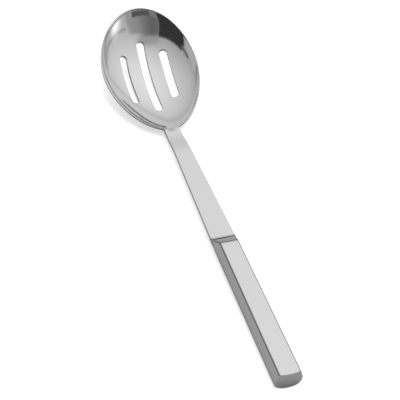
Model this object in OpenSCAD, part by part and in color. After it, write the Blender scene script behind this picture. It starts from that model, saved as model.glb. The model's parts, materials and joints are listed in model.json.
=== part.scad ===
// Slotted serving spoon with a hollow handle, lying on a table with the bowl upwards.
// The bowl, the shank and a tang hidden in the handle are one stamped blank. The handle is two
// pressed shells that close on the shank at the front and on a small plate at the back.
// +Y runs from the handle to the bowl's tip and +Z is up. The origin is at the middle of the
// spoon's outline on the table. All lengths are in millimetres.

/* [Bowl] */
// Length of the bowl from heel to tip, along the straight line between them
bowl_l = 90.4; // [70:1:110]
// Width of the bowl across its rim
bowl_w = 64.2; // [50:1:80]
// Distance from the heel to where the bowl is widest
bowl_wide_at = 48.2; // [36:0.1:56]
// Depth of the inside below its rim
bowl_deep = 12.9; // [9:0.1:18]
// Height of the steep band just under the rim, as a part of the depth
lip_h = 1; // [0.4:0.1:4]
// How far the rim dips below the straight line from heel to tip
rim_dip = 5.4; // [1:0.1:8]
// Tilt of that line to the shank, in degrees
bowl_tilt_angle = 19.7; // [12:0.1:28]
// Width of the ground flat on top of the rim
rim_edge = 0.7; // [0.6:0.1:2]
// Height of the rim's outer edge
rim_t = 1.8; // [0.6:0.1:2.4]
// Thickness of the sheet in the bottom of the bowl
bowl_t = 1.8; // [1.2:0.1:2.6]

/* [Slots] */
// Width of each slot
slot_w = 5; // [3:0.1:7]
// Length of the middle slot
slot_mid_l = 51.8; // [30:0.1:60]
// Length of each side slot
slot_side_l = 35.8; // [20:0.1:42]
// Distance between the slots' centre lines
slot_pitch = 13.9; // [9:0.1:17]
// Distance from the heel to the middle of the slots
slot_at = 46.2; // [38:0.1:50]
// Lean of the side slots, so that they are punched square to the curved bottom, in degrees
slot_lean_angle = 12; // [0:1:20]

/* [Shank] */
// Length of the bare shank, from the front of the handle to the bowl's heel
shank_l = 98.6; // [70:1:130]
// Width of the shank where it leaves the handle
shank_w = 15.3; // [12:0.1:18]
// Width of the shank at the neck
neck_w = 9.8; // [7:0.1:13]
// Thickness of the blank in the shank and the tang
sheet_t = 2.2; // [1.6:0.1:3]
// Length of the neck, where the shank bends into the bowl
neck_l = 25; // [16:1:40]
// How far the top of the neck drops before the bowl's heel
neck_drop = 1.7; // [0.5:0.1:4]

/* [Handle] */
// Length of the handle, end to front
handle_l = 115; // [90:1:140]
// Width of the handle across its seam, at the end
handle_w = 17.3; // [14:0.1:22]
// Width of the flat top at the end
top_w = 13.2; // [10:0.1:16]
// Width of the flat top at the front of the handle
top_front_w = 11.7; // [9:0.1:14]
// Height of the flat top above the middle of the blank
top_h = 7; // [5:0.1:9]
// Depth of the rounded underside below the middle of the blank
belly_h = 5.15; // [4:0.05:7]
// Length of the shoulder, where the handle falls to the shank
shoulder_l = 12; // [8:0.5:18]
// Height of the shells above the sheet at the very front
front_lip = 0.35; // [0.2:0.05:0.8]
// Radius of the long edges of the top
edge_r = 1; // [0.4:0.1:1.5]
// Wall of both shells
wall = 1; // [0.6:0.1:1.4]
// How far the end face bows out at its middle
end_bow_h = 1.3; // [0.4:0.1:2]
// Thickness of the end plate
cap_t = 1.2; // [0.8:0.1:2]

/* [Tang] */
// Length of the blank that the front of the shells grips
land_l = 6; // [4:0.5:9]
// Length of the solid nose in front of the hollow
nose_l = 4.5; // [3:0.5:6]
// Length of the narrow tang behind the grip
tang_l = 34; // [20:1:60]
// Width of the narrow tang
tang_w = 9; // [6:0.5:11]

/* [Hidden] */

// Cuts run past what they cut by this length
overrun = 2;

// Shape of the outline: the exponent of each half's superellipse, 2 being an ellipse
tip_shape_share = 2;
heel_shape_share = 1.78;
// How tightly the outline turns from neck to bowl, more being tighter
notch_shape_share = 4;
// How the depth grows from the rim inwards, for the bowl and for the steep band
dish_shape_share = 2.1;
lip_shape_share = 24;
// Length over which the heel is rounded, as a share of the heel half
heel_round_share = 0.08;
// Where the rim's ground flat begins and is full, as shares of the heel half
flat_start_share = -0.1;
flat_full_share = 0.35;
// Where the blank begins to thin towards the rim, before the heel as a share of the neck, and
// over what share of the heel half it does so
thin_before_share = 0.2;
thin_over_share = 0.5;
// Width of the flat on the neck, as a share of the rim's, so that its edge never vanishes
flat_least_share = 0.04;
// The last row of the dish and the outer edge of the very tip, as shares of the tip half's
// quarter turn
tip_row_share = 0.96;
tip_end_share = 0.985;
// Shape of the underside's curve across, 2 being an ellipse
belly_shape_share = 2.3;
// Share of the shoulder's length that each of its two bends takes
bend_share = 0.3;
// Height that the hollow keeps beside the blank, and the least radius of its edges, as shares of
// the wall
hollow_least_share = 0.3;
hollow_edge_share = 0.25;

// Facets: across the bowl, along the neck and each half of the bowl, and round the handle
across_n = 30;
neck_n = 12;
heel_n = 20;
tip_n = 15;
belly_n = 9;
round_n = 4;
shoulder_n = 12;
round_fn = 96;

half_t = sheet_t / 2;
heel_s = handle_l + shank_l;
tip_l = bowl_l - bowl_wide_at;
heel_height = half_t - neck_drop;
dish_h = bowl_deep - lip_h;
land_s = handle_l - land_l;
end_half = handle_w / 2;
end_r = (end_half * end_half + end_bow_h * end_bow_h) / (2 * end_bow_h);

function mix(a, b, t) = a + (b - a) * t;
function held(t) = max(0, min(1, t));
function eased(t) = let (u = held(t)) u * u * (3 - 2 * u);

// A ramp that starts at zero with a round corner of half length e
function rounded_ramp(q, e) = q < -e ? 0 : q > e ? q : (q + e) * (q + e) / (4 * e);

// Two straight levels joined by a slope, with a bend of share b at each end of it
function bent_step(t, b) =
    let (u = held(t), k = 1 - b)
    u < b ? u * u / (2 * b * k) : u > k ? 1 - (1 - u) * (1 - u) / (2 * b * k) : (u - b / 2) / k;

// The bowl's outline and dish. v runs from the heel towards the tip and is negative on the neck.
function off_wide(v) = v < bowl_wide_at ? (bowl_wide_at - v) / bowl_wide_at : (v - bowl_wide_at) / tip_l;
function shape_at(v) = v < bowl_wide_at ? heel_shape_share : tip_shape_share;
function oval_half(v) =
    let (n = shape_at(v), r = held(off_wide(v)))
    bowl_w / 2 * pow(max(0, 1 - pow(r, n)), 1 / n);
function shank_half(s) = mix(shank_w, neck_w, (s - handle_l) / shank_l) / 2;
function strip_half(v) = v < 0 ? shank_half(heel_s + v) : neck_w / 2 * (1 - held(v / bowl_wide_at));
function blank_half(v) =
    let (k = notch_shape_share)
    pow(pow(strip_half(v), k) + pow(oval_half(v), k), 1 / k);
function flat_w(v) =
    let (a = flat_start_share, b = flat_full_share)
    rim_edge * mix(flat_least_share, 1, eased((v / bowl_wide_at - a) / (b - a)));

// How near the rim a point is: 0 in the middle of the bowl and 1 on the rim
function rim_nearness(u, v) =
    let (n = shape_at(v), q = 1 - off_wide(v))
    let (r = v < bowl_wide_at ? 1 - rounded_ramp(q, heel_round_share) : off_wide(v))
    pow(pow(abs(u), n) * (1 - pow(r, n)) + pow(r, n), 1 / n);
function dish(g) = 1 - pow(g, dish_shape_share);
function lip(g) = 1 - pow(g, lip_shape_share);
function inside_depth(u, v) =
    let (g = rim_nearness(u, v))
    dish_h * dish(g) + lip_h * lip(g);
function edge_t(v) =
    mix(sheet_t, rim_t, eased((v + neck_l * thin_before_share) / (bowl_wide_at * thin_over_share)));
function outside_depth(u, v) =
    let (g = rim_nearness(u, v), t = edge_t(v))
    t + (dish_h + bowl_t - t) * dish(g) + lip_h * lip(g);

// The line of the rim, seen from the side, as [distance along the shank, height]
function rim_line(v) =
    let (dip = rim_dip * 4 * (v / bowl_l) * (1 - v / bowl_l))
    v < 0 ? [heel_s + v, neck_height(held(1 + v / neck_l))]
          : [heel_s + v * cos(bowl_tilt_angle) + dip * sin(bowl_tilt_angle),
             heel_height + v * sin(bowl_tilt_angle) - dip * cos(bowl_tilt_angle)];
heel_slope = tan(bowl_tilt_angle - atan(4 * rim_dip / bowl_l));
function neck_height(t) =
    half_t * (2 * t * t * t - 3 * t * t + 1) + heel_height * (3 * t * t - 2 * t * t * t)
    + heel_slope * neck_l * (t * t * t - t * t);
function depth_tilt(v) = bowl_tilt_angle * eased((v + neck_l) / neck_l);
function blank_point(x, v, depth) =
    let (p = rim_line(v), a = depth_tilt(v))
    [x, p[0] + depth * sin(a), p[1] - depth * cos(a)];

// One closed loop round the blank at v, w to each side: the top, the outer edge, the underside
// and the outer edge again
across_us = [for (i = [0 : across_n]) sin(90 * (2 * i / across_n - 1))];
function inner_v(v) = v < bowl_wide_at ? v : bowl_wide_at + (v - bowl_wide_at) * (1 - rim_edge / tip_l);
function blank_loop(v, w, vi) =
    let (wi = max(w - flat_w(v), w * flat_least_share))
    concat(
        [for (i = [0 : across_n]) let (u = across_us[i]) blank_point(u * wi, vi, inside_depth(u, v))],
        [blank_point(w, v, 0)],
        [for (i = [across_n : -1 : 0]) let (u = across_us[i]) blank_point(u * w, v, outside_depth(u, v))],
        [blank_point(-w, v, 0)]
    );
function tip_v(turn_share) = bowl_wide_at + tip_l * sin(90 * turn_share);
end_v = tip_v(tip_end_share);
blank_vs = concat(
    [for (i = [0 : neck_n - 1]) -neck_l * (1 - i / neck_n)],
    [for (i = [0 : heel_n - 1]) bowl_wide_at * (1 - cos(90 * i / heel_n))],
    [for (i = [0 : tip_n]) tip_v(tip_row_share * i / tip_n)]
);

// The spoon rests on the end of the handle and on the bowl, which sets how far it is inclined
bottom_line = [for (v = blank_vs) let (p = blank_point(0, v, outside_depth(0, v))) [p[1], p[2]]];
incline = -atan(min([for (p = bottom_line) (p[1] + belly_h) / p[0]]));
tip_points = [for (depth = [0, outside_depth(0, end_v)]) blank_point(0, end_v, depth)];
front_y = max([for (p = tip_points) p[1] * cos(incline) - p[2] * sin(incline)]);
back_y = -top_h * sin(incline);

module rest_pose() {
    translate([0, -(front_y + back_y) / 2, belly_h * cos(incline)])
        rotate([incline, 0, 0])
            children();
}

// A solid through closed loops of points, each clockwise as seen from the handle's end. The
// faces that close the first loop are given, and the last loop is closed the same way.
module loft(loops, closing) {
    m = len(loops);
    k = len(loops[0]);
    polyhedron(
        points = [for (l = loops) each l],
        faces = concat(
            [for (j = [0 : m - 2], i = [0 : k - 1])
                let (a = j * k + i, b = j * k + (i + 1) % k) each [[a, a + k, b], [b, a + k, b + k]]],
            closing,
            [for (f = closing) [for (i = [len(f) - 1 : -1 : 0]) f[i] + (m - 1) * k]]
        )
    );
}

// Closing faces for the blank's loop: pairs of triangles from its top to its underside
function strip_closing(n) = concat(
    [for (i = [0 : n - 1])
        let (a = i, b = i + 1, c = 2 * n + 1 - i, d = 2 * n + 2 - i) each [[a, b, d], [b, c, d]]],
    [[n, n + 1, n + 2], [2 * n + 2, 2 * n + 3, 0]]
);

// One slot's cutter, standing square to the line from heel to tip and leaning as told
module slot_cut(length, lean) {
    straight = length - slot_w;
    reach = bowl_deep + rim_dip + bowl_t + overrun;
    rotate([0, lean, 0])
        translate([0, 0, -reach])
            linear_extrude(2 * reach) {
                square([slot_w, straight], center = true);
                for (end = [-1, 1])
                    translate([0, end * straight / 2])
                        circle(d = slot_w, $fn = round_fn);
            }
}

// The grip between the shells, the shank, the neck and the bowl, pierced by the three slots
module pierced_blank() {
    grip_v = land_s - heel_s;
    loops = concat(
        [blank_loop(grip_v, handle_half(land_s), grip_v), blank_loop(-shank_l, shank_w / 2, -shank_l)],
        [for (v = blank_vs) blank_loop(v, blank_half(v), inner_v(v))],
        [blank_loop(end_v, blank_half(end_v), end_v)]
    );
    difference() {
        loft(loops, strip_closing(across_n));
        translate([0, heel_s, heel_height])
            rotate([bowl_tilt_angle, 0, 0])
                for (side = [-1, 0, 1]) {
                    x = side * slot_pitch;
                    sunk = rim_dip + inside_depth(x / oval_half(slot_at), slot_at);
                    translate([x, slot_at, -sunk])
                        slot_cut(side == 0 ? slot_mid_l : slot_side_l, -side * slot_lean_angle);
                }
    }
}

// The narrow tang behind the grip
module tang() {
    translate([-tang_w / 2, land_s - tang_l, -half_t])
        cube([tang_w, tang_l + land_l / 2, sheet_t]);
}

// Heights and widths of the handle at the distance s from its end
function handle_half(s) = mix(handle_w, shank_w, s / handle_l) / 2;
function side_lean(s) =
    (handle_half(s) - mix(top_w, top_front_w, s / (handle_l - shoulder_l)) / 2) / (top_h - half_t);
function handle_rise(full, s) =
    let (least = half_t + front_lip)
    least + (full - least) * bent_step((handle_l - s) / shoulder_l, bend_share);

// One loop round the handle, drawn in by the given inset, clockwise from the top's right corner
function handle_loop(s, inset) =
    let (w = handle_half(s) - inset, k = side_lean(s), a = atan(k))
    let (least = half_t + hollow_least_share * wall)
    let (h = max(handle_rise(top_h, s) - inset, least), d = max(handle_rise(belly_h, s) - inset, least))
    let (r = min(max(edge_r - inset, wall * hollow_edge_share), (h - half_t) / 2))
    let (cx = w - (h - r - half_t) * k - r / cos(a), e = 2 / belly_shape_share)
    let (right = concat(
        [for (i = [0 : round_n]) let (b = mix(90, a, i / round_n)) [cx + r * cos(b), h - r + r * sin(b)]],
        [[w, half_t], [w, -half_t]],
        [for (i = [1 : belly_n])
            let (b = 90 * (1 - i / belly_n))
            [w * pow(sin(b), e), -half_t - (d - half_t) * pow(cos(b), e)]]
    ))
    let (n = len(right))
    [for (p = concat(right, [for (i = [n - 2 : -1 : 0]) [-right[i][0], right[i][1]]])) [p[0], s, p[1]]];

module handle_form(inset, front) {
    shoulder_s = handle_l - shoulder_l;
    ss = concat(
        [-overrun],
        [for (i = [0 : shoulder_n]) mix(shoulder_s, front, i / shoulder_n)]
    );
    loops = [for (s = ss) handle_loop(s, inset)];
    loft(loops, [[for (i = [0 : len(loops[0]) - 1]) i]]);
}

// The hollow inside the shells, running out through the end
module hollow() {
    handle_form(wall, handle_l - nose_l);
}

// Everything behind a bowed face that lies the given distance inside the end
module behind_face(depth) {
    side = 2 * handle_w;
    difference() {
        translate([-side / 2, -2 * overrun, -side / 2])
            cube([side, 2 * overrun + 2 * end_bow_h + depth, side]);
        translate([0, end_r, -side])
            cylinder(r = end_r - depth, h = 2 * side, $fn = round_fn);
    }
}

// One shell: the handle's outer form on one side of the seam, hollow and open for the blank
module shell(up) {
    side = 2 * handle_w;
    difference() {
        intersection() {
            handle_form(0, handle_l);
            translate([-side / 2, -2 * overrun, up ? 0 : -side])
                cube([side, handle_l + 4 * overrun, side]);
        }
        hollow();
        behind_face(0);
        translate([-side / 2, land_s, -half_t])
            cube([side, land_l + overrun, sheet_t]);
    }
}

module bowl_and_shank() {
    color("silver") rest_pose() {
        pierced_blank();
        tang();
    }
}

module handle_top_shell() {
    color("lightgray") rest_pose() shell(true);
}

module handle_bottom_shell() {
    color("darkgray") rest_pose() shell(false);
}

module handle_end_plate() {
    color("gainsboro") rest_pose()
        difference() {
            intersection() {
                hollow();
                behind_face(cap_t);
            }
            behind_face(0);
        }
}

bowl_and_shank();
handle_top_shell();
handle_bottom_shell();
handle_end_plate();
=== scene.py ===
"""A slotted serving spoon of stainless steel, lying on a pale studio floor.

The spoon is one stamped blank, which is the tang, the shank and the pierced bowl, two pressed
handle shells and a small end plate. Lengths are in metres, in the frame of the packed model.
"""

import json
import math
from itertools import product
from types import SimpleNamespace

import bmesh
import bpy
import numpy as np
from bpy.props import FloatProperty, FloatVectorProperty, IntProperty, PointerProperty
from bpy.types import Operator, Panel, PropertyGroup
from mathutils import Matrix, Vector
from mathutils.geometry import delaunay_2d_cdt


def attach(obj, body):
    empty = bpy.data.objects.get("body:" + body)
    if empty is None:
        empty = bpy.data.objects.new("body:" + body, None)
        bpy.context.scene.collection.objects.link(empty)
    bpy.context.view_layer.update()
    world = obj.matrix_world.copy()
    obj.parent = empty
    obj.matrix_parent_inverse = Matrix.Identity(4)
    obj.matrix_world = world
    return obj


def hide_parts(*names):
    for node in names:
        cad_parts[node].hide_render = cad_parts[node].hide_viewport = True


bl_info = {
    "name": "Slotted Serving Spoon",
    "version": (1, 0, 0),
    "blender": (4, 5, 0),
    "location": "View3D > Sidebar > Spoon",
    "description": "A hollow-handled serving spoon with a slotted bowl, and the studio round it",
    "category": "Add Mesh",
}

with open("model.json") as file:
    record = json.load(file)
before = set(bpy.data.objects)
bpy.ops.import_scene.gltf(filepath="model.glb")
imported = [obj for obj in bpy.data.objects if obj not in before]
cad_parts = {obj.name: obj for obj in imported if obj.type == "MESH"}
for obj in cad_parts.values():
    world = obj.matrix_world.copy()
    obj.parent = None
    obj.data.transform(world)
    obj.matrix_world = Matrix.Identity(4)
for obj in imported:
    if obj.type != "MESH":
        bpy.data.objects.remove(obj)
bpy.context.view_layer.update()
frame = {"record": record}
HANDLE_MOUNT = frame["record"]["mounts"][0]


# Properties that a user may change

def length(label, text, value):
    return FloatProperty(name=label, description=text, default=value, unit="LENGTH", precision=5)


def angle(label, text, degrees):
    value = math.radians(degrees)
    return FloatProperty(name=label, description=text, default=value, subtype="ANGLE", unit="ROTATION")


def share(label, text, value):
    return FloatProperty(name=label, description=text, default=value, min=0, max=1, subtype="FACTOR")


def count(label, text, value):
    return IntProperty(name=label, description=text, default=value, min=1, subtype="UNSIGNED")


def tint(label, text, value):
    return FloatVectorProperty(
        name=label, description=text, default=value, size=3, min=0, max=1, subtype="COLOR"
    )


def point(label, text, value):
    return FloatVectorProperty(
        name=label, description=text, default=value, size=3, subtype="TRANSLATION", unit="LENGTH"
    )


def measure(label, text, value, unit):
    return FloatProperty(name=label, description=text, default=value, unit=unit)


class BowlSizes(PropertyGroup):
    """Sizes of the bowl"""
    bowl_l: length("Length", "Heel to tip, along the straight line between them", 0.0904)
    bowl_w: length("Width", "Width across the rim", 0.0642)
    bowl_wide_at: length("Widest at", "Distance from the heel to the widest place", 0.0482)
    bowl_deep: length("Depth", "Depth of the inside below the rim", 0.0129)
    lip_h: length("Steep band", "Height of the steep band just under the rim", 0.001)
    rim_dip: length("Rim dip", "How far the rim dips below the line from heel to tip", 0.0054)
    bowl_tilt: angle("Tilt", "Tilt of the bowl to the shank", 19.7)
    rim_edge: length("Rim width", "Width of the rim's flat edge", 0.0007)
    rim_t: length("Rim thickness", "Height of the rim's outermost side", 0.0018)
    bowl_t: length("Sheet in the bowl", "Thickness of the sheet in the bottom of the bowl", 0.0018)
    edge_round: length("Edge rounding", "Size of the rounding at the slots and under the rim", 0.00022)
    rim_round: length("Rim rounding", "Size of the rounding along the inside of the rim", 0.0005)
    slot_w: length("Slot width", "Width of each slot", 0.005)
    slot_mid_l: length("Middle slot", "Length of the middle slot", 0.0518)
    slot_side_l: length("Side slots", "Length of each side slot", 0.0358)
    slot_pitch: length("Slot pitch", "Distance between the slots' centre lines", 0.0139)
    slot_at: length("Slots at", "Distance from the heel to the middle of the slots", 0.0462)
    slot_lean: angle("Slot lean", "Lean of the side slots, square to the curved bottom", 12)


class ShankSizes(PropertyGroup):
    """Sizes of the shank and the tang"""
    shank_l: length("Length", "From the front of the handle to the heel of the bowl", 0.0986)
    shank_w: length("Width", "Width where the shank leaves the handle", 0.0153)
    neck_w: length("Neck width", "Width at the neck", 0.0098)
    sheet_t: length("Thickness", "Thickness of the blank", 0.0022)
    neck_l: length("Neck length", "Length of the bend into the bowl", 0.025)
    neck_drop: length("Neck drop", "How far the neck drops before the heel", 0.0017)
    land_l: length("Grip", "Length of the blank between the front of the shells", 0.006)
    tang_l: length("Tang length", "Length of the tang behind the grip", 0.034)
    tang_w: length("Tang width", "Width of the tang", 0.009)


class HandleSizes(PropertyGroup):
    """Sizes of the hollow handle"""
    handle_l: length("Length", "Length of the handle", 0.115)
    handle_w: length("Width", "Width across the seam at the end", 0.0173)
    top_w: length("Top width", "Width of the flat top at the end", 0.0132)
    top_front_w: length("Top width in front", "Width of the flat top at the front", 0.0117)
    top_h: length("Top height", "Height of the flat top above the seam", 0.007)
    belly_h: length("Belly depth", "Depth of the underside below the seam", 0.00515)
    shoulder_l: length("Shoulder", "Length of the shoulder", 0.012)
    front_lip: length("Front lip", "Height of the shells above the sheet at the front", 0.00035)
    edge_r: length("Edge radius", "Radius of the long edges of the top", 0.001)
    wall: length("Wall", "Wall of both shells", 0.001)
    end_bow: length("End bow", "How far the end bows out at its middle", 0.0013)
    cap_t: length("End plate", "Thickness of the end plate", 0.0012)
    nose_l: length("Nose", "Length of the solid nose in front of the hollow", 0.0045)
    seam_round: length("Seam edges", "Size of the broken edges that show the seams", 0.0003)


class MeshCounts(PropertyGroup):
    """How finely the surfaces are divided"""
    across_n: count("Across", "Columns from the middle of the blank to its rim", 44)
    neck_n: count("Neck", "Rows along the neck", 44)
    heel_n: count("Heel", "Rows along the heel half of the bowl", 72)
    tip_n: count("Tip", "Ribs round the tip half of the bowl", 120)
    round_n: count("Edges", "Steps round each small edge", 4)
    slot_n: count("Slot ends", "Steps round each slot's end", 24)
    shoulder_n: count("Shoulder", "Rows along the handle's shoulder", 40)
    belly_n: count("Belly", "Columns from the middle of the underside to the seam", 24)


class FinishValues(PropertyGroup):
    """Colours and polish of the steel"""
    bowl_colour: tint("Bowl steel", "Colour of the polished blank", (0.78, 0.78, 0.782))
    handle_colour: tint("Handle steel", "Colour of the handle shells", (0.78, 0.78, 0.782))
    plate_colour: tint("End plate steel", "Colour of the end plate", (0.68, 0.68, 0.682))
    bowl_rough: share("Bowl roughness", "Roughness of the polished blank", 0.07)
    handle_rough: share("Handle roughness", "Roughness of the buffed handle", 0.11)
    plate_rough: share("End plate roughness", "Roughness of the end plate", 0.16)
    bowl_streaks: length("Bowl streaks", "Depth of the streaks on the blank", 0.0000006)
    handle_streaks: length("Handle streaks", "Depth of the streaks on the handle", 0.0000015)
    plate_streaks: length("End plate streaks", "Depth of the streaks on the end plate", 0.000001)
    bowl_vary: share("Bowl variation", "Change of roughness along the blank's streaks", 0.05)
    handle_vary: share("Handle variation", "Change of roughness along the handle's streaks", 0.1)
    plate_vary: share("End plate variation", "Change of roughness along the plate's streaks", 0.08)
    # Painted shade: the top shell's colour is darkened along its rounded long edges, standing in for
    # their darker reflection
    edge_painted_shade: share("Dull edges", "How much less the handle's rounded edges reflect", 0.54)


class StudioValues(PropertyGroup):
    """Camera, floor and light"""
    azimuth: angle("Azimuth", "Direction from which the camera looks, from -Y towards +X", -23.142)
    elevation: angle("Elevation", "Height of the camera above the floor", 44.771)
    roll: angle("Roll", "Turn of the camera about its own axis", -6.287)
    distance: length("Distance", "From the camera to the point that it looks at", 1.09704)
    lens: measure("Lens", "Focal length of the camera", 161.33, "CAMERA")
    sensor: measure("Sensor", "Width of the camera's sensor", 36, "CAMERA")
    target: point("Target", "Point that the camera looks at", (-0.004369, -0.004322, 0.009676))
    floor_size: length("Floor size", "Side of the pale floor", 6.0)
    floor_colour: tint("Floor", "Colour of the floor", (0.86, 0.86, 0.86))
    floor_glow: share("Floor glow", "Light that the floor gives off, as a light table does", 0.58)
    ground_z: length("Ground height", "Height of the ground that only the steel mirrors", 0.0002)
    ground_colour: tint("Ground", "Colour of that ground", (0.38, 0.38, 0.38))
    key_size: length("Softbox", "Side of the square softbox overhead", 0.9)
    key_power: measure("Softbox power", "Power of the softbox", 9, "POWER")
    key_at: point("Softbox place", "Middle of the softbox, which faces the origin", (0.15, 0.1, 1.3))


GROUPS = {
    "spoon_bowl": BowlSizes,
    "spoon_shank": ShankSizes,
    "spoon_handle": HandleSizes,
    "spoon_mesh": MeshCounts,
    "spoon_finish": FinishValues,
    "spoon_studio": StudioValues,
}

# Shape of the outline and the dish, as in the model: exponents and shares of the sizes above
TIP_SHAPE = 2
HEEL_SHAPE = 1.78
NOTCH_SHAPE = 4
DISH_SHAPE = 2.1
LIP_SHAPE = 24
HEEL_ROUND_SHARE = 0.08
FLAT_START_SHARE = -0.1
FLAT_FULL_SHARE = 0.35
FLAT_LEAST_SHARE = 0.5
THIN_BEFORE_SHARE = 0.2
THIN_OVER_SHARE = 0.5
BELLY_SHAPE = 2.3
BEND_SHARE = 0.3
# How far the roundings at both sides of the rim's flat edge reach into it, in its width
RIM_INNER_SHARE = 0.7
RIM_OUTER_SHARE = 0.25
# The columns across the blank close up towards its rim like the sine of this angle
COLUMN_ANGLE = math.radians(84)
# Distance of the handle's flat mount from the handle's end
MOUNT_AT = 0.060
# Points closer than this are one point
WELD = 1e-7
# Least distance from a slot's rounded edge to the next vertex, and the step along its sides
SLOT_CLEAR = 0.0004
SLOT_STEP = 0.001
# Rounds in which a point of a slot's edge settles on the bowl
SETTLE_ROUNDS = 12


def spoon_sizes(scene):
    """All sizes and counts under one name, with the rounding of single precision taken off"""
    values = {}
    for group in ("spoon_bowl", "spoon_shank", "spoon_handle", "spoon_mesh"):
        holder = getattr(scene, group)
        for name in GROUPS[group].__annotations__:
            value = getattr(holder, name)
            values[name] = value if isinstance(value, int) else round(value, 8)
    p = SimpleNamespace(**values)
    p.half_t = p.sheet_t / 2
    p.heel_s = p.handle_l + p.shank_l
    p.tip_l = p.bowl_l - p.bowl_wide_at
    p.heel_height = p.half_t - p.neck_drop
    p.dish_h = p.bowl_deep - p.lip_h
    p.land_s = p.handle_l - p.land_l
    p.end_r = ((p.handle_w / 2) ** 2 + p.end_bow ** 2) / (2 * p.end_bow)
    p.heel_slope = math.tan(p.bowl_tilt - math.atan(4 * p.rim_dip / p.bowl_l))
    return p


def linked(name, data):
    """A new object of the scene that holds the data"""
    obj = bpy.data.objects.new(name, data)
    bpy.context.scene.collection.objects.link(obj)
    return obj


def placed(axes, origin):
    """Matrix from a frame with these axes and this origin"""
    matrix = Matrix(axes).transposed().to_4x4()
    matrix.translation = origin
    return matrix


def lying(p):
    """Matrix from the spoon's own frame, x across, y along the shank and z up, to the floor"""
    up = Vector(HANDLE_MOUNT["axis"]).normalized()
    along = Vector((0, up.z, -up.y))
    start = Vector(HANDLE_MOUNT["pos_m"]) - along * MOUNT_AT - up * p.top_h
    return placed((Vector((1, 0, 0)), along, up), start)


# Shape of the blank

def mix(a, b, t):
    return a + (b - a) * t


def eased(t):
    """From 0 to 1 with a soft start and a soft end"""
    u = t.held() if isinstance(t, Term) else np.clip(t, 0, 1)
    return u * u * (3 - u * 2)


def rounded_ramp(q, e):
    return np.where(q < -e, 0, np.where(q > e, q, (q + e) ** 2 / (4 * e)))


def heel_off(p, v):
    return (p.bowl_wide_at - v) / p.bowl_wide_at


def strip_half(p, v):
    """Half the width of the shank, which fades out below the bowl"""
    straight = mix(p.shank_w, p.neck_w, (p.shank_l + v) / p.shank_l) / 2
    fading = p.neck_w / 2 * (1 - np.clip(v / p.bowl_wide_at, 0, 1))
    return np.where(v < 0, straight, fading)


def blank_half(p, v):
    """Half the width of the blank's outline behind the widest place"""
    r = np.clip(heel_off(p, v), 0, 1)
    oval = p.bowl_w / 2 * (1 - r ** HEEL_SHAPE) ** (1 / HEEL_SHAPE)
    return (strip_half(p, v) ** NOTCH_SHAPE + oval ** NOTCH_SHAPE) ** (1 / NOTCH_SHAPE)


def flat_width(p, v):
    """Width of the rim's flat edge, which narrows along the neck"""
    span = FLAT_FULL_SHARE - FLAT_START_SHARE
    full = eased((v / p.bowl_wide_at - FLAT_START_SHARE) / span)
    return p.rim_edge * mix(FLAT_LEAST_SHARE, 1, full)


def thinned(p, v):
    """How far the sheet has thinned from the shank's thickness to the rim's, from 0 to 1"""
    return eased((v + p.neck_l * THIN_BEFORE_SHARE) / (p.bowl_wide_at * THIN_OVER_SHARE))


def edge_foot(p, v):
    """Depth of the outer side's foot, where the underside begins"""
    return mix(p.sheet_t, p.rim_t, thinned(p, v))


def heel_nearness(p, u, v):
    """How near the rim a point of the heel half is: 0 in the middle of the bowl, 1 on the rim"""
    n = HEEL_SHAPE
    r = 1 - rounded_ramp(1 - heel_off(p, v), HEEL_ROUND_SHARE)
    r = np.clip(r, 0, 1)
    return (np.abs(u) ** n * (1 - r ** n) + r ** n) ** (1 / n)


def tip_nearness(p, x, y, inset):
    """The same for the tip half, whose rim is drawn in by the inset"""
    n = TIP_SHAPE
    across = np.abs(x) / (p.bowl_w / 2 - inset)
    along = (y - p.bowl_wide_at) / (p.tip_l - inset)
    return (across ** n + np.maximum(along, 0) ** n) ** (1 / n)


def inside_depth(p, g):
    return p.dish_h * (1 - g ** DISH_SHAPE) + p.lip_h * (1 - g ** LIP_SHAPE)


def outside_depth(p, g, t):
    return t + (p.dish_h + p.bowl_t - t) * (1 - g ** DISH_SHAPE) + p.lip_h * (1 - g ** LIP_SHAPE)


def rim_dip_at(p, y):
    return p.rim_dip * 4 * (y / p.bowl_l) * (1 - y / p.bowl_l)


def inside_height(p, x, y):
    """Height of the inside over the straight line from heel to tip"""
    u = x / (blank_half(p, y) - flat_width(p, y))
    g = np.where(y < p.bowl_wide_at, heel_nearness(p, u, y), tip_nearness(p, x, y, p.rim_edge))
    return -rim_dip_at(p, y) - inside_depth(p, g)


def outside_height(p, x, y):
    """Height of the underside over the same line"""
    u = x / blank_half(p, y)
    g = np.where(y < p.bowl_wide_at, heel_nearness(p, u, y), tip_nearness(p, x, y, 0))
    return -rim_dip_at(p, y) - outside_depth(p, g, edge_foot(p, y))


def neck_height(p, t):
    return (
        p.half_t * (2 * t ** 3 - 3 * t ** 2 + 1)
        + p.heel_height * (3 * t ** 2 - 2 * t ** 3)
        + p.heel_slope * p.neck_l * (t ** 3 - t ** 2)
    )


def blank_points(p, x, y, depth):
    """Points of the spoon's own frame at x across, y from the heel and a depth below the rim"""
    given = (np.asarray(values, float) for values in (x, y, depth))
    x, y, depth = np.broadcast_arrays(*given)
    dip = rim_dip_at(p, y)
    on_bowl = y >= 0
    along = np.where(on_bowl, y * math.cos(p.bowl_tilt) + dip * math.sin(p.bowl_tilt), y)
    up_bowl = p.heel_height + y * math.sin(p.bowl_tilt) - dip * math.cos(p.bowl_tilt)
    up_neck = neck_height(p, np.clip(1 + y / p.neck_l, 0, 1))
    tilt = p.bowl_tilt * eased((y + p.neck_l) / p.neck_l)
    up = np.where(on_bowl, up_bowl, up_neck)
    return np.stack([x, p.heel_s + along + depth * np.sin(tilt), up - depth * np.cos(tilt)], axis=-1)


def rounded_corner(before, corner, after, steps):
    """Points that lead from one side of a corner to the other on a small curve"""
    t = np.linspace(0, 1, steps + 1)[:, None]
    return (1 - t) ** 2 * before + 2 * t * (1 - t) * corner + t ** 2 * after


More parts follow.
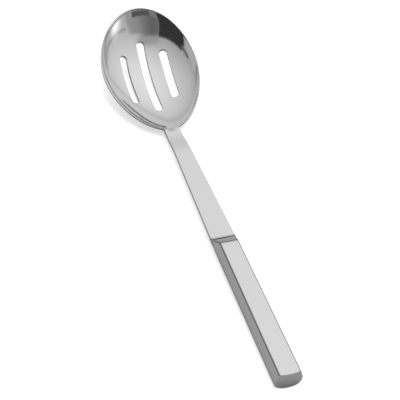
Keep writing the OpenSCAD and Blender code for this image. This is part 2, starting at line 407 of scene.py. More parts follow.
def towards(start, end, distance):
    step = end - start
    return start + step * (distance / np.linalg.norm(step))


def columns(p):
    t = np.arange(p.across_n + 1) / p.across_n
    return np.sin(COLUMN_ANGLE * t) / math.sin(COLUMN_ANGLE)


def rib(p, top, bottom, inner, outer, under):
    """One half section: the top from the middle outwards, round the edge, the underside back"""
    flat = np.linalg.norm(outer - inner)
    inner_r = flat * RIM_INNER_SHARE
    outer_r = flat * RIM_OUTER_SHARE
    corners = (
        (top[-1], inner, towards(inner, outer, inner_r)),
        (towards(outer, inner, outer_r), outer, towards(outer, under, outer_r)),
        (towards(under, outer, outer_r), under, bottom[-1]),
    )
    first, second, third = (rounded_corner(*points, p.round_n) for points in corners)
    return np.concatenate([top, first[1:], second, third[:-1], bottom[::-1]])


def heel_rib(p, v, half=None):
    """Half section at the distance v from the heel, as wide as the outline or the given half"""
    w = float(blank_half(p, v)) if half is None else half
    wi = w - float(flat_width(p, v))
    t = float(edge_foot(p, v))
    u_top = columns(p) * (1 - p.rim_round / wi)
    u_under = columns(p) * (1 - p.edge_round / w)
    top = blank_points(p, u_top * wi, v, inside_depth(p, heel_nearness(p, u_top, v)))
    bottom = blank_points(p, u_under * w, v, outside_depth(p, heel_nearness(p, u_under, v), t))
    corners = ((wi, 0), (w, 0), (w, t))
    inner, outer, under = (blank_points(p, x, v, d) for x, d in corners)
    return rib(p, top, bottom, inner, outer, under)


def tip_rib(p, turn):
    """Half section round the tip half, at a turn from the right side of the widest place"""
    e = 2 / TIP_SHAPE
    cx = math.copysign(abs(math.cos(turn)) ** e, math.cos(turn))
    cy = abs(math.sin(turn)) ** e
    inner_x, inner_y = (p.bowl_w / 2 - p.rim_edge) * cx, (p.tip_l - p.rim_edge) * cy
    outer_x, outer_y = p.bowl_w / 2 * cx, p.tip_l * cy
    g = columns(p) * (1 - p.rim_round / math.hypot(inner_x, inner_y))
    wide = p.bowl_wide_at
    top = blank_points(p, g * inner_x, wide + g * inner_y, inside_depth(p, g))
    bottom = blank_points(p, g * outer_x, wide + g * outer_y, outside_depth(p, g, p.rim_t))
    inner = blank_points(p, inner_x, wide + inner_y, 0)
    outer, under = (blank_points(p, outer_x, wide + outer_y, d) for d in (0, p.rim_t))
    return rib(p, top, bottom, inner, outer, under)


def blank_ribs(p):
    """Half sections all round the blank, from the grip along the right side and back on the left"""
    neck = [-p.neck_l * (1 - math.sin(math.pi / 2 * i / p.neck_n)) for i in range(p.neck_n)]
    heel = [p.bowl_wide_at * (1 - math.cos(math.pi / 2 * i / p.heel_n)) for i in range(p.heel_n)]
    grip_half = mix(p.handle_w, p.shank_w, p.land_s / p.handle_l) / 2
    right = [heel_rib(p, -p.shank_l - p.land_l, grip_half), heel_rib(p, -p.shank_l, p.shank_w / 2)]
    right += [heel_rib(p, v) for v in neck + heel]
    tip = [tip_rib(p, math.pi * i / p.tip_n) for i in range(p.tip_n + 1)]
    left = [r * (-1, 1, 1) for r in reversed(right)]
    return right + tip + left


# Slots

def slot_list(p):
    """Each slot's cutter: place and matrix in the bowl's frame, straight length"""
    slots = []
    for side in (-1, 0, 1):
        x = side * p.slot_pitch
        z = float(inside_height(p, x, p.slot_at))
        lean = Matrix.Rotation(-side * p.slot_lean, 4, "Y")
        slots.append(SimpleNamespace(
            place=Matrix.Translation((x, p.slot_at, z)) @ lean,
            straight=(p.slot_side_l if side else p.slot_mid_l) - p.slot_w,
        ))
    return slots


def slot_outline(p, slot, radius):
    """Points round the slot in its own plane, at a radius about its centre line"""
    points = []
    for end in (1, -1):
        for i in range(p.slot_n + 1):
            turn = math.pi * i / p.slot_n + (0 if end > 0 else math.pi)
            points.append((radius * math.cos(turn), end * slot.straight / 2 + radius * math.sin(turn)))
        sides = max(2, round(slot.straight / SLOT_STEP))
        for i in range(1, sides):
            points.append((-end * radius, end * slot.straight * (0.5 - i / sides)))
    return np.array(points)


def slot_distance(p, slot, ab):
    beyond = np.maximum(np.abs(ab[:, 1]) - slot.straight / 2, 0)
    return np.hypot(ab[:, 0], beyond) - p.slot_w / 2


def moved(matrix, points):
    m = np.array(matrix)
    return points @ m[:3, :3].T + m[:3, 3]


def on_surface(p, slot, ab, height):
    """Points of a surface of the bowl straight under or over the slot's points"""
    h = np.zeros(len(ab))
    for _ in range(SETTLE_ROUNDS):
        points = moved(slot.place, np.column_stack([ab, h]))
        h -= points[:, 2] - height(p, points[:, 0], points[:, 1])
    return moved(slot.place, np.column_stack([ab, h]))


def bowl_frame(p):
    """Matrix from the bowl's frame, on the line from heel to tip, to the spoon's own frame"""
    return Matrix.Translation((0, p.heel_s, p.heel_height)) @ Matrix.Rotation(p.bowl_tilt, 4, "X")


def inside_polygon(points, loop):
    """Which points lie inside a closed loop, by counting the edges that a ray crosses"""
    x, y = points[:, 0][:, None], points[:, 1][:, None]
    ax, ay = loop[:, 0], loop[:, 1]
    bx, by = np.roll(ax, -1), np.roll(ay, -1)
    spans = (ay > y) != (by > y)
    rise = np.where(by == ay, 1, by - ay)
    hits = spans & (x < (bx - ax) * (y - ay) / rise + ax)
    return hits.sum(axis=1) % 2 == 1


class Skin:
    """Vertices and faces of a mesh in the making, with the bowl's two sides kept apart"""

    def __init__(self):
        self.points = np.zeros((0, 3))
        self.faces = []
        self.top = []
        self.under = []

    def add(self, points):
        start = len(self.points)
        self.points = np.concatenate([self.points, points])
        return np.arange(start, start + len(points))

    def bridge(self, a, b, closed=False):
        """Quads between two rows of vertices"""
        last = len(a) if closed else len(a) - 1
        for i in range(last):
            k = (i + 1) % len(a)
            self.faces.append((a[i], a[k], b[k], b[i]))

    def weld(self):
        """Joins vertices that share a place"""
        keys = np.round(self.points / WELD).astype(np.int64)
        _, first, same = np.unique(keys, axis=0, return_index=True, return_inverse=True)
        self.points = self.points[first]
        same = same.ravel().tolist()
        for group in (self.faces, self.top, self.under):
            short = [tuple(dict.fromkeys(same[i] for i in face)) for face in group]
            group[:] = [face for face in short if len(face) > 2]


def edge_loop(edges):
    """The vertices of a closed chain of directed edges, in order"""
    following = dict(edges)
    loop = [edges[0][0]]
    while following[loop[-1]] != loop[0]:
        loop.append(following[loop[-1]])
    return loop


def let_in(p, skin, slot, faces, to_slot, outline):
    """Opens the patch of faces round a slot and closes it up to the slot's outline again.

    Returns the faces that stay, with the new ones. The outline holds vertices of the skin.
    """
    ab = moved(to_slot, skin.points)[:, :2]
    near = slot_distance(p, slot, ab) < p.edge_round + SLOT_CLEAR
    kept = [f for f in faces if not near[list(f)].any()]
    dropped = [f for f in faces if near[list(f)].any()]
    directed = {(f[i], f[(i + 1) % len(f)]) for f in dropped for i in range(len(f))}
    rim = edge_loop([e for e in directed if (e[1], e[0]) not in directed])
    free = sorted({i for f in dropped for i in f if not near[i]} - set(rim))
    outline = list(outline)
    ids = rim + outline + free
    n, m = len(rim), len(outline)
    edges = [(i, (i + 1) % n) for i in range(n)] + [(n + i, n + (i + 1) % m) for i in range(m)]
    result = delaunay_2d_cdt([Vector(ab[i]) for i in ids], edges, [], 0, WELD, True)
    source = [ids[origins[0]] for origins in result[3]]
    triangles = [tuple(source[i] for i in f) for f in result[2]]
    middles = np.array([ab[list(t)].mean(axis=0) for t in triangles])
    wanted = inside_polygon(middles, ab[rim]) & ~inside_polygon(middles, ab[outline])
    return kept + [t for t, use in zip(triangles, wanted) if use]


def cut_slots(p, skin):
    """Lets the three slots into the top and the underside and lines them with their walls"""
    bowl = bowl_frame(p)
    for slot in slot_list(p):
        to_slot = (bowl @ slot.place).inverted()
        down = np.array(slot.place.to_3x3() @ Vector((0, 0, -p.edge_round)))
        narrow = slot_outline(p, slot, p.slot_w / 2)
        broad = slot_outline(p, slot, p.slot_w / 2 + p.edge_round)
        rows = []
        for height, way in ((inside_height, 1), (outside_height, -1)):
            edge = on_surface(p, slot, broad, height)
            corner = on_surface(p, slot, narrow, height)
            arc = [rounded_corner(a, c, c + way * down, p.round_n) for a, c in zip(edge, corner)]
            rows.append([skin.add(moved(bowl, np.array(level))) for level in zip(*arc)])
        skin.top = let_in(p, skin, slot, skin.top, to_slot, rows[0][0])
        skin.under = let_in(p, skin, slot, skin.under, to_slot, rows[1][0])
        wall = rows[0] + rows[1][::-1]
        for upper, lower in zip(wall, wall[1:]):
            skin.bridge(lower, upper, closed=True)


def add_box(skin, low, high):
    """A closed box between two corners"""
    corners = [(x, y, z) for z, y, x in product(*zip(low[::-1], high[::-1]))]
    ids = skin.add(np.array(corners, float))
    for face in ((0, 2, 3, 1), (4, 5, 7, 6), (0, 1, 5, 4), (1, 3, 7, 5), (3, 2, 6, 7), (2, 0, 4, 6)):
        skin.faces.append(tuple(ids[i] for i in face))


def blank_skin(p):
    """The whole blank: the pierced bowl, the neck, the shank, the grip and the tang"""
    skin = Skin()
    ribs = [skin.add(r) for r in blank_ribs(p)]
    last = len(ribs[0]) - 1
    side_by_side = [skin.top] * p.across_n
    side_by_side += [skin.faces] * (last - 2 * p.across_n)
    side_by_side += [skin.under] * p.across_n
    for a, b in zip(ribs, ribs[1:]):
        for i, group in enumerate(side_by_side):
            group.append((b[i], b[i + 1], a[i + 1], a[i]))
    skin.faces.append(tuple(ribs[0]) + tuple(ribs[-1][::-1]))
    skin.weld()
    cut_slots(p, skin)
    half_w = p.tang_w / 2
    add_box(skin, (-half_w, p.land_s - p.tang_l, -p.half_t), (half_w, p.land_s, p.half_t))
    return skin


# Node trees

class Term:
    """A number held by a node's socket. Sums on terms add Math nodes to the tree that they are in."""

    def __init__(self, tree, socket):
        self.tree = tree
        self.socket = socket

    def use(self, operation, *others):
        node = self.tree.nodes.new("ShaderNodeMath")
        node.operation = operation
        for socket, value in zip(node.inputs, (self, *others)):
            if isinstance(value, Term):
                self.tree.links.new(value.socket, socket)
            else:
                socket.default_value = value
        return Term(self.tree, node.outputs[0])

    def __add__(self, other):
        return self.use("ADD", other)

    def __sub__(self, other):
        return self.use("SUBTRACT", other)

    def __rsub__(self, other):
        return self.use("MULTIPLY_ADD", -1.0, other)

    def __mul__(self, other):
        return self.use("MULTIPLY", other)

    def __truediv__(self, other):
        return self.use("DIVIDE", other)

    def __pow__(self, other):
        return self.use("POWER", other)

    def held(self, low=0.0, high=1.0):
        return self.use("MAXIMUM", low).use("MINIMUM", high)


def set_inputs(node, values):
    """Sets inputs of a node by name"""
    for name, value in values.items():
        node.inputs[name].default_value = value


def new_geometry_tree(name):
    """An empty node tree with one geometry output, and a function that adds a named input"""
    tree = bpy.data.node_groups.new(name, "GeometryNodeTree")
    tree.interface.new_socket(name="Geometry", in_out="OUTPUT", socket_type="NodeSocketGeometry")
    source = tree.nodes.new("NodeGroupInput")

    def number(label, value):
        socket = tree.interface.new_socket(name=label, in_out="INPUT", socket_type="NodeSocketFloat")
        socket.default_value = value
        return Term(tree, source.outputs[label])

    return tree, number


def finish_tree(tree, geometry, material):
    """Ends a tree in Realize Instances, Set Material and its output"""
    realize = tree.nodes.new("GeometryNodeRealizeInstances")
    paint = tree.nodes.new("GeometryNodeSetMaterial")
    paint.inputs["Material"].default_value = material
    end = tree.nodes.new("NodeGroupOutput")
    tree.links.new(geometry, realize.inputs[0])
    tree.links.new(realize.outputs[0], paint.inputs["Geometry"])
    tree.links.new(paint.outputs[0], end.inputs[0])


def grown(name, tree, values):
    """Runs a tree on an empty mesh with the given inputs and returns its result as a plain mesh"""
    holder = linked(name, bpy.data.meshes.new(name))
    modifier = holder.modifiers.new("Shape", "NODES")
    modifier.node_group = tree
    sockets = {s.name: s.identifier for s in tree.interface.items_tree if s.in_out == "INPUT"}
    for label, value in values.items():
        modifier[sockets[label]] = value
    bpy.context.view_layer.update()
    seen = holder.evaluated_get(bpy.context.evaluated_depsgraph_get())
    mesh = bpy.data.meshes.new_from_object(seen)
    holder.modifiers.remove(modifier)
    bpy.data.objects.remove(holder)
    return mesh


# The handle

# Columns of the top shell along its flat, its rounding and its side, and rows of the straight part
FLAT_COLUMNS = 6
ARC_COLUMNS = 8
SIDE_COLUMNS = 4
STRAIGHT_ROWS = 8
# Height that the hollow keeps beside the blank and the least radius of its edges, in walls
HOLLOW_LEAST_SHARE = 0.3
HOLLOW_EDGE_SHARE = 0.25
# How far the front wall of a shell reaches into the blank's edge rounding, in front lips
FOOT_SHARE = 0.5
# Columns of the end plate along the flat top, its rounding and the slope, and rows across it
PLATE_FLAT_COLUMNS = 11
PLATE_ARC_COLUMNS = 6
PLATE_SLOPE_COLUMNS = 11
PLATE_ROWS = 6


def shell_inputs(p):
    """Named inputs of the shells' trees"""
    return {
        "Length": p.handle_l,
        "End width": p.handle_w,
        "Front width": p.shank_w,
        "Top width": p.top_w,
        "Top front width": p.top_front_w,
        "Top height": p.top_h,
        "Belly depth": p.belly_h,
        "Half sheet": p.half_t,
        "Shoulder": p.shoulder_l,
        "Front lip": p.front_lip,
        "Edge radius": p.edge_r,
        "Wall": p.wall,
        "Bow radius": p.end_r,
        "Nose": p.nose_l,
    }


def bent_step(t):
    """From 0 to 1 along a straight slope with a round bend at each end"""
    b, k = BEND_SHARE, 1 - BEND_SHARE
    u = t.held()
    first = u.held(0.0, b)
    last = (u - (1 - b)).held(0.0, b)
    middle = u.held(b, 1 - b) - b
    return (first * first * 0.5 + middle * b + last * (b - last * 0.5)) / (b * k)


def shell_tree(p, name, is_top, material):
    """A grid folded into one closed shell: its rows run along the outside, down the front wall and
    back along the inside, its columns run from seam to seam, and both seams close on themselves"""
    tree, number = new_geometry_tree(name)
    v = {label: number(label, value) for label, value in shell_inputs(p).items()}
    curve_columns = FLAT_COLUMNS + ARC_COLUMNS + SIDE_COLUMNS if is_top else p.belly_n
    half = curve_columns + 2
    reach = STRAIGHT_ROWS + p.shoulder_n
    rows = 2 * reach + 3

    grid = tree.nodes.new("GeometryNodeMeshGrid")
    set_inputs(grid, {"Size X": rows, "Size Y": 2 * half})
    set_inputs(grid, {"Vertices X": rows + 1, "Vertices Y": 2 * half + 1})
    place = tree.nodes.new("ShaderNodeSeparateXYZ")
    tree.links.new(tree.nodes.new("GeometryNodeInputPosition").outputs[0], place.inputs[0])
    row = (Term(tree, place.outputs[0]) + rows / 2).use("ROUND")
    column = Term(tree, place.outputs[1]).use("ROUND")

    inside = row.use("GREATER_THAN", reach + 1.5) * row.use("LESS_THAN", 2 * reach + 2.5)
    front = row.use("COMPARE", reach + 1, 0.5)
    step = row.use("MINIMUM", reach).use("MINIMUM", 2 * reach + 2 - row).use("MAXIMUM", 0.0)
    off_middle = column.use("ABSOLUTE")
    fold = (off_middle - (half - 1)).held()
    low = (off_middle - curve_columns).held()

    inset = v["Wall"] * inside
    straight = (step / STRAIGHT_ROWS).held()
    sloping = (step - STRAIGHT_ROWS).held(0.0, p.shoulder_n) / p.shoulder_n
    shoulder = v["Shoulder"] - v["Nose"] * inside * (1 - fold)
    s = (v["Length"] - v["Shoulder"]) * straight + shoulder * sloping

    side = mix(v["End width"], v["Front width"], s / v["Length"]) * 0.5
    w = side - inset
    least = v["Half sheet"] + v["Front lip"]
    rise = bent_step((v["Length"] - s) / v["Shoulder"])
    full = v["Top height"] if is_top else v["Belly depth"]
    height = least + (full - least) * rise - inset
    height = height.use("MAXIMUM", v["Half sheet"] + v["Wall"] * HOLLOW_LEAST_SHARE)

    if is_top:
        top_side = mix(v["Top width"], v["Top front width"], s / (v["Length"] - v["Shoulder"])) * 0.5
        lean = (side - top_side) / (v["Top height"] - v["Half sheet"])
        slant = lean.use("ARCTANGENT")
        radius = (v["Edge radius"] - inset).use("MAXIMUM", v["Wall"] * HOLLOW_EDGE_SHARE)
        radius = radius.use("MINIMUM", (height - v["Half sheet"]) * 0.5)
        corner = w - (height - radius - v["Half sheet"]) * lean - radius / slant.use("COSINE")
        flat = (off_middle / FLAT_COLUMNS).held()
        turn = ((off_middle - FLAT_COLUMNS) / ARC_COLUMNS).held() * (math.pi / 2 - slant)
        down = ((off_middle - FLAT_COLUMNS - ARC_COLUMNS) / SIDE_COLUMNS).held()
        x = flat * corner + radius * turn.use("SINE")
        x = x + down * (w - corner - radius * slant.use("COSINE"))
        z = height - radius * (1 - turn.use("COSINE"))
        z = z - down * (height - radius * (1 - slant.use("SINE")) - v["Half sheet"])
        z = z - low * v["Half sheet"]
        foot = z.use("MINIMUM", v["Half sheet"] - v["Front lip"] * FOOT_SHARE)
        # Mask of the rounded long edges, where the material paints shade into the colour
        past = off_middle - FLAT_COLUMNS
        edge = past.use("MINIMUM", ARC_COLUMNS - past).held()
    else:
        edge = None
        e = 2 / BELLY_SHAPE
        turn = (off_middle / curve_columns).held() * (math.pi / 2)
        x = w * turn.use("SINE").held() ** e
        z = (v["Half sheet"] - height) * turn.use("COSINE").held() ** e - v["Half sheet"]
        z = z + low * v["Half sheet"]
        foot = z.use("MAXIMUM", v["Front lip"] * FOOT_SHARE - v["Half sheet"])
    x = mix(x, side - v["Wall"] * 0.5, fold)
    z = mix(z, foot, front)
    bow = v["Bow radius"] - (v["Bow radius"] * v["Bow radius"] - x * x).use("SQRT")
    s = s + bow * (1 - straight)

    folded = tree.nodes.new("ShaderNodeCombineXYZ")
    for socket, term in zip(folded.inputs, (x * column.use("SIGN"), s, z)):
        tree.links.new(term.socket, socket)
    mesh = grid.outputs["Mesh"]
    if edge:
        mark = tree.nodes.new("GeometryNodeStoreNamedAttribute")
        mark.data_type = "FLOAT"
        mark.domain = "POINT"
        mark.inputs["Name"].default_value = PAINTED_SHADE_MARK
        tree.links.new(edge.socket, mark.inputs["Value"])
        tree.links.new(mesh, mark.inputs["Geometry"])
        mesh = mark.outputs[0]
    shape = tree.nodes.new("GeometryNodeSetPosition")
    tree.links.new(mesh, shape.inputs["Geometry"])
    tree.links.new(folded.outputs[0], shape.inputs["Position"])
    weld = tree.nodes.new("GeometryNodeMergeByDistance")
    weld.inputs["Distance"].default_value = 10 * WELD
    tree.links.new(shape.outputs[0], weld.inputs["Geometry"])
    finish_tree(tree, weld.outputs[0], material)
    return tree


def end_plate_skin(p):
    """The bowed plate that closes the end, set inside the walls of both shells"""
    skin = Skin()
    w = p.handle_w / 2 - p.wall
    lean = (p.handle_w - p.top_w) / 2 / (p.top_h - p.half_t)
    slant = math.atan(lean)
    h, d = p.top_h - p.wall, p.belly_h - p.wall
    r = max(p.edge_r - p.wall, p.wall * HOLLOW_EDGE_SHARE)
    corner = w - (h - r - p.half_t) * lean - r / math.cos(slant)
    arc_end = corner + r * math.cos(slant)
    flat = np.linspace(0, corner, PLATE_FLAT_COLUMNS + 1)
    turns = np.linspace(0, math.pi / 2 - slant, PLATE_ARC_COLUMNS + 1)[1:]
    arc = corner + r * np.sin(turns)
    turns = np.linspace(0, math.pi / 2, PLATE_SLOPE_COLUMNS + 1)[1:]
    slope = arc_end + (w - arc_end) * np.sin(turns)
    xs = np.concatenate([flat, arc, slope])
    on_arc = h - r + np.sqrt(np.maximum(r * r - np.maximum(xs - corner, 0) ** 2, 0))
    on_slope = p.half_t + (w - xs) / lean
    upper = np.where(xs <= arc_end, on_arc, on_slope)
    belly = np.maximum(1 - (xs / w) ** BELLY_SHAPE, 0) ** (1 / BELLY_SHAPE)
    lower = -p.half_t - (d - p.half_t) * belly
    xs = np.concatenate([-xs[:0:-1], xs])
    upper = np.concatenate([upper[:0:-1], upper])
    lower = np.concatenate([lower[:0:-1], lower])
    steps = np.linspace(0, 1, PLATE_ROWS + 1)
    outlines = []
    for depth in (0, p.cap_t):
        bowed = p.end_r - np.sqrt(p.end_r ** 2 - xs ** 2) + depth
        rows = [skin.add(np.column_stack([xs, bowed, mix(lower, upper, t)])) for t in steps]
        for a, b in zip(rows, rows[1:]):
            skin.bridge(a, b)
        up = [row[-1] for row in rows[1:]]
        down = [row[0] for row in rows[-2:0:-1]]
        outlines.append([*rows[0], *up, *rows[-1][-2::-1], *down])
    skin.bridge(outlines[0], outlines[1], closed=True)
    return skin


# Finished pieces

SMOOTH_ANGLE = math.radians(35)
BEVEL_STEPS = 3
# Attribute of the top shell that marks its rounded long edges, where its material darkens the colour
# as painted shade
PAINTED_SHADE_MARK = "edge"


def add_piece(name, mesh, matrix, material):
    """An object at the origin with its place in its mesh, faces outwards and smooth curves"""
    mesh.transform(matrix)
    work = bmesh.new()
    work.from_mesh(mesh)
    bmesh.ops.recalc_face_normals(work, faces=work.faces)
    if work.calc_volume(signed=True) < 0:
        bmesh.ops.reverse_faces(work, faces=work.faces)
    work.to_mesh(mesh)
    work.free()
    mesh.materials.clear()
    mesh.materials.append(material)
    mesh.shade_smooth()
    mesh.set_sharp_from_angle(angle=SMOOTH_ANGLE)
    mesh.name = name
    return linked(name, mesh)


def skin_mesh(name, skin):
    mesh = bpy.data.meshes.new(name)
    mesh.from_pydata(skin.points.tolist(), [], skin.faces + skin.top + skin.under)
    mesh.update()
    return mesh


def break_edges(obj, size):
    """Breaks the sharp edges, so that seams show as fine lines"""
    bevel = obj.modifiers.new("Broken edges", "BEVEL")
    bevel.width = size
    bevel.segments = BEVEL_STEPS
    bevel.limit_method = "ANGLE"
    bevel.angle_limit = SMOOTH_ANGLE
    bevel.harden_normals = True


def fit_out(obj, node):
    """Lets a piece stand for its node of the model"""
    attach(obj, "root")
    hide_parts(node)


# Steel

# Streaks and wide soft clouds of the polish: scale, stretch along the spoon and detail
STREAKS = (1800, 0.012, 3)
CLOUDS = (60, 0.3, 2)
# Part of the streaks' change of roughness that the clouds add, and the least roughness
CLOUD_SHARE = 0.5
LEAST_ROUGH = 0.02


def new_material(name, colour):
    """A material of one colour, and its shader"""
    material = bpy.data.materials.new(name)
    material.use_nodes = True
    shader = material.node_tree.nodes["Principled BSDF"]
    shader.inputs["Base Color"].default_value = (*colour, 1)
    return material, shader


def steel(name, finish, part, edge_painted_shade=0):
    """Stainless steel with fine polishing streaks along the spoon

    With a share of painted shade, its colour is darkened where the mesh has the edge mark, standing in
    for the darker reflection of rounded edges.
    """
    colour, rough, streak_depth, vary = (
        getattr(finish, part + value) for value in ("_colour", "_rough", "_streaks", "_vary")
    )
    material, shader = new_material(name, colour)
    tree = material.node_tree
    shader.inputs["Metallic"].default_value = 1
    place = tree.nodes.new("ShaderNodeTexCoord")

    def noise(scale, along_share, detail):
        stretch = tree.nodes.new("ShaderNodeMapping")
        stretch.inputs["Scale"].default_value = (scale, scale * along_share, scale)
        tree.links.new(place.outputs["Object"], stretch.inputs["Vector"])
        texture = tree.nodes.new("ShaderNodeTexNoise")
        set_inputs(texture, {"Scale": 1, "Detail": detail})
        tree.links.new(stretch.outputs[0], texture.inputs["Vector"])
        return Term(tree, texture.outputs[0])

    streaks = noise(*STREAKS)
    clouds = noise(*CLOUDS)
    rough = (streaks - 0.5) * vary + (clouds - 0.5) * (vary * CLOUD_SHARE) + rough
    tree.links.new(rough.held(LEAST_ROUGH, 1.0).socket, shader.inputs["Roughness"])
    # Painted shade: the base colour is darkened where the edge mark is set
    if edge_painted_shade:
        edge = tree.nodes.new("ShaderNodeAttribute")
        edge.attribute_name = PAINTED_SHADE_MARK
        shade = tree.nodes.new("ShaderNodeVectorMath")
        shade.operation = "SCALE"
        shade.inputs[0].default_value = tuple(colour)
        share_left = 1 - Term(tree, edge.outputs["Fac"]) * edge_painted_shade
        tree.links.new(share_left.socket, shade.inputs["Scale"])
        tree.links.new(shade.outputs[0], shader.inputs["Base Color"])
    bump = tree.nodes.new("ShaderNodeBump")
    set_inputs(bump, {"Strength": 1, "Distance": streak_depth})
    tree.links.new(streaks.socket, bump.inputs["Height"])
    tree.links.new(bump.outputs[0], shader.inputs["Normal"])
    return material


# Operators

class SPOON_OT_blank(Operator):
    """Make the stamped blank with its pierced bowl, neck and shank"""
    bl_idname = "spoon.blank"
    bl_label = "Bowl and Shank"

    def execute(self, context):
        p = spoon_sizes(context.scene)
        material = steel("polished steel", context.scene.spoon_finish, "bowl")
        mesh = skin_mesh("pierced_blank", blank_skin(p))
        obj = add_piece("pierced_blank", mesh, lying(p), material)
        fit_out(obj, "bowl_and_shank")
        return {"FINISHED"}


class SPOON_OT_shells(Operator):
    """Make the two pressed shells of the handle"""
    bl_idname = "spoon.shells"
    bl_label = "Handle Shells"

    def execute(self, context):
        p = spoon_sizes(context.scene)
        finish = context.scene.spoon_finish
        for name, node, is_top in (
            ("top_shell", "handle_top_shell", True),
            ("bottom_shell", "handle_bottom_shell", False),
        ):
            # Only the top shell gets the painted shade along its rounded edges
            edge_painted_shade = finish.edge_painted_shade if is_top else 0
            material = steel("buffed steel of " + name, finish, "handle", edge_painted_shade)
            tree = shell_tree(p, name + " shape", is_top, material)
            obj = add_piece(name, grown(name, tree, shell_inputs(p)), lying(p), material)
            break_edges(obj, p.seam_round)
            fit_out(obj, node)
        return {"FINISHED"}


class SPOON_OT_end_plate(Operator):
    """Make the small plate that closes the end of the handle"""
    bl_idname = "spoon.end_plate"
    bl_label = "End Plate"

    def execute(self, context):
        p = spoon_sizes(context.scene)
        material = steel("plate steel", context.scene.spoon_finish, "plate")
        mesh = skin_mesh("end_plate", end_plate_skin(p))
        obj = add_piece("end_plate", mesh, lying(p), material)
        break_edges(obj, p.seam_round)
        fit_out(obj, "handle_end_plate")
        return {"FINISHED"}


# Studio

# Roughness of the stage's paper and how much it shines
PAPER_ROUGH = 0.9
PAPER_SHINE = 0.1
# Nearest that the camera sees
CLIP_START = 0.05
# The dome's light grows evenly towards one side: level and growth along x, y and z. It stays
# between the least and the most level.
DOME_RAMP = (0.215, 0.285, 0.155, 0.635)
DOME_LEAST = 0.38
DOME_MOST = 10.0
# Cards that hang in the dome: name, azimuth from +Y towards +X, elevation, half width, half height,
# soft edge across and soft edge upright, all in degrees, rise of the card along it, and level.
# A card covers the ones before it.
DOME_CARDS = (
    ("far ceiling", 180, 47, 26, 6, 24, 12, 0, 0.38),
    ("front wall", 173, 10.3, 27, 30, 14, 2, 0.26, 0.345),
    ("dim wall", -168, 30, 20, 13, 40, 5, 0, 0.15),
    ("front bench", 172, -4, 33, 22, 6, 3, 0, 0.38),
    ("bench end", -163, -4, 14, 22, 14, 3, 0, 0.22),
    ("pale wall", -78, 12, 20, 24, 10, 12, 0, 0.50),
    ("side wall", 116, -10, 29, 29, 6, 3, 0.27, 0.54),
    ("side wall top", 114, 18.5, 27, 1.5, 6, 2, 0.27, 0.36),
    ("side wall end", 78, -8, 18, 22, 12, 6, 0.2, 0.42),
    ("side window", 124, 9, 8, 10, 18, 16, 0, 1.38),
    ("door in front", 173, 6, 16, 12, 3, 3, 0, 0.11),
    ("dark curtain", -130, 4, 27, 40, 3, 3, 0, 0.04),
    ("curtain edge", -96, 39, 12, 2.5, 4, 3, 0, 0.15),
    ("low board", -48, 2, 13, 18, 7, 8, 0, 0.12),
    ("dusk behind", 10, 10, 30, 12, 20, 24, 0, 0.42),
    ("low wall behind", 15, -2, 22, 12, 8, 4, 0, 0.06),
    ("low wall aside", 52, -2, 15, 12, 6, 6, 0, 0.22),
)


def dome(context):
    """World light: an even ramp of light with a few cards in it"""
    world = bpy.data.worlds.new("Studio dome")
    context.scene.world = world
    world.use_nodes = True
    tree = world.node_tree
    place = tree.nodes.new("ShaderNodeTexCoord")
    axes = tree.nodes.new("ShaderNodeSeparateXYZ")
    tree.links.new(place.outputs["Generated"], axes.inputs[0])
    x, y, z = (Term(tree, axes.outputs[i]) for i in range(3))
    elevation = z.held(-1.0, 1.0).use("ARCSINE") * (180 / math.pi)
    azimuth = x.use("ARCTAN2", y) * (180 / math.pi)
    level, along_x, along_y, along_z = DOME_RAMP
    strength = (x * along_x + y * along_y + z * along_z + level).use("MAXIMUM", DOME_LEAST)
    for _, centre, height, half_w, half_h, soft_w, soft_h, rise, power in DOME_CARDS:
        aside = (azimuth - centre).use("WRAP", 180.0, -180.0)
        above = (elevation - height - aside * rise).use("ABSOLUTE")
        across = eased((half_w - aside.use("ABSOLUTE")) / soft_w + 0.5)
        upright = eased((half_h - above) / soft_h + 0.5)
        strength = mix(strength, power, across * upright)
    background = tree.nodes["Background"]
    background.inputs["Color"].default_value = (1, 1, 1, 1)
    tree.links.new(strength.held(0.0, DOME_MOST).socket, background.inputs["Strength"])


def paper(name, colour, glow):
    """A matt material that may also shine a little, like a lit sheet"""
    material, shader = new_material(name, colour)
    set_inputs(shader, {"Roughness": PAPER_ROUGH, "Specular IOR Level": PAPER_SHINE})
    set_inputs(shader, {"Emission Color": (1, 1, 1, 1), "Emission Strength": glow})
    return material


def level_sheet(name, side, height, material):
    """A square sheet of the stage that lies level"""
    h = side / 2
    corners = [(x, y, height) for x, y in ((-h, -h), (h, -h), (h, h), (-h, h))]
    mesh = bpy.data.meshes.new(name)
    mesh.from_pydata(corners, [], [(0, 1, 2, 3)])
    mesh.materials.append(material)
    sheet = linked(name, mesh)
    return sheet


def camera_axes(studio):
    """Directions to the right of the picture, up in it and back towards the camera"""
    a, e, r = studio.azimuth, studio.elevation, studio.roll
    back = Vector((math.sin(a) * math.cos(e), -math.cos(a) * math.cos(e), math.sin(e)))
    level = Vector((math.cos(a), math.sin(a), 0))
    upright = back.cross(level)
    return (
        level * math.cos(r) - upright * math.sin(r),
        upright * math.cos(r) + level * math.sin(r),
        back,
    )


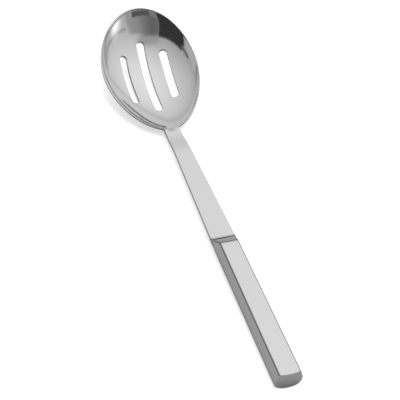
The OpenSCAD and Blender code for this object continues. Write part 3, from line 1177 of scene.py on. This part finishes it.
class SPOON_OT_stage(Operator):
    """Make the floor, the light and the camera"""
    bl_idname = "spoon.stage"
    bl_label = "Studio"

    def execute(self, context):
        studio = context.scene.spoon_studio
        pale = paper("pale paper", studio.floor_colour, studio.floor_glow)
        floor = level_sheet("floor", studio.floor_size, 0, pale)
        floor.visible_glossy = False
        grey = paper("grey paper", studio.ground_colour, 0)
        ground = level_sheet("ground", studio.floor_size, studio.ground_z, grey)
        ground.visible_camera = False
        ground.visible_diffuse = False
        ground.visible_shadow = False
        dome(context)

        key = bpy.data.lights.new("key softbox", "AREA")
        key.shape = "SQUARE"
        key.size = studio.key_size
        key.energy = studio.key_power
        lamp = linked("key softbox", key)
        lamp.location = studio.key_at
        lamp.rotation_euler = lamp.location.to_track_quat("Z", "Y").to_euler()
        lamp.visible_glossy = False

        camera = bpy.data.cameras.new("camera")
        camera.lens = studio.lens
        camera.sensor_width = studio.sensor
        camera.clip_start = CLIP_START
        view = linked("camera", camera)
        axes = camera_axes(studio)
        view.matrix_world = placed(axes, studio.target + axes[2] * studio.distance)
        context.scene.camera = view
        context.scene.view_settings.view_transform = "Standard"
        return {"FINISHED"}


class SPOON_PT_panel(Panel):
    """Buttons for the pieces and the studio, with their sizes"""
    bl_label = "Slotted Serving Spoon"
    bl_idname = "SPOON_PT_panel"
    bl_space_type = "VIEW_3D"
    bl_region_type = "UI"
    bl_category = "Spoon"

    def draw(self, context):
        for operator in OPERATORS:
            self.layout.operator(operator.bl_idname)
        for holder, group in GROUPS.items():
            box = self.layout.box()
            box.label(text=group.__doc__)
            for name in group.__annotations__:
                box.prop(getattr(context.scene, holder), name)


OPERATORS = (SPOON_OT_blank, SPOON_OT_shells, SPOON_OT_end_plate, SPOON_OT_stage)


def register():
    for cls in (*GROUPS.values(), *OPERATORS, SPOON_PT_panel):
        bpy.utils.register_class(cls)
    for holder, group in GROUPS.items():
        setattr(bpy.types.Scene, holder, PointerProperty(type=group))


def unregister():
    for holder in GROUPS:
        delattr(bpy.types.Scene, holder)
    for cls in (SPOON_PT_panel, *reversed(OPERATORS), *reversed(GROUPS.values())):
        bpy.utils.unregister_class(cls)


def main():
    register()
    bpy.ops.spoon.blank()
    bpy.ops.spoon.shells()
    bpy.ops.spoon.end_plate()
    bpy.ops.spoon.stage()


if __name__ == "__main__":
    main()
